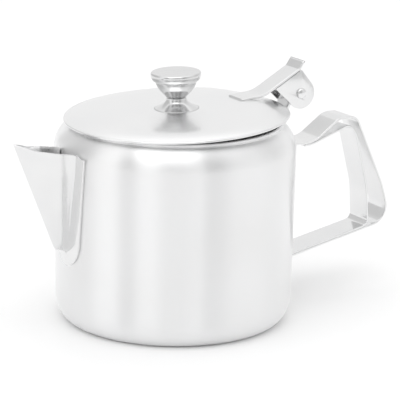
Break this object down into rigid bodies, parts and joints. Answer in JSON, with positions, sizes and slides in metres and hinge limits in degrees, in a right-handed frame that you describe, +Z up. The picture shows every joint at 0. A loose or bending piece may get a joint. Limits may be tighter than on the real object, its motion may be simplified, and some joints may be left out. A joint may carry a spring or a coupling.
{
  "type": "teapot",
  "caption": "Polished stainless steel teapot with a folded V spout, a doubled strap handle, a hinged lid with a thumb tab and a round knob.",
  "frame": {"origin": "Centre of the flat base, on the axis of the round pot.", "axes": "+Z up out of the mouth, +X toward the handle and the hinge with the spout on -X, +Y along the hinge pin."},
  "size_m": [0.2066, 0.116, 0.1203],
  "materials": {
    "polished_body": "mirror polished stainless steel",
    "polished_spout": "mirror polished stainless steel sheet",
    "polished_strap": "polished stainless steel strip with faint handling lines",
    "polished_lid": "mirror polished stainless steel sheet",
    "polished_knob": "mirror polished stainless steel",
    "rivet_steel": "plain stainless steel"
  },
  "bodies": {
    "pot": {"pot_body": "polished_body", "spout": "polished_spout", "handle_outer_strap": "polished_strap", "handle_inner_strap": "polished_strap", "hinge_post": "polished_strap"},
    "lid_group": {"lid": "polished_lid", "lid_strap": "polished_strap", "hinge_bracket": "polished_strap", "hinge_pin": "rivet_steel", "knob_cap": "polished_knob", "knob_bowl": "polished_knob", "knob_collar": "polished_knob", "knob_screw": "rivet_steel", "knob_washer": "rivet_steel"}
  },
  "joints": [
    {"name": "lid_hinge", "type": "hinge", "parent": "pot", "child": "lid_group", "pos_m": [0.0672, 0, 0.10386], "axis": [0, 1, 0], "range_deg": [0, 95]}
  ]
}
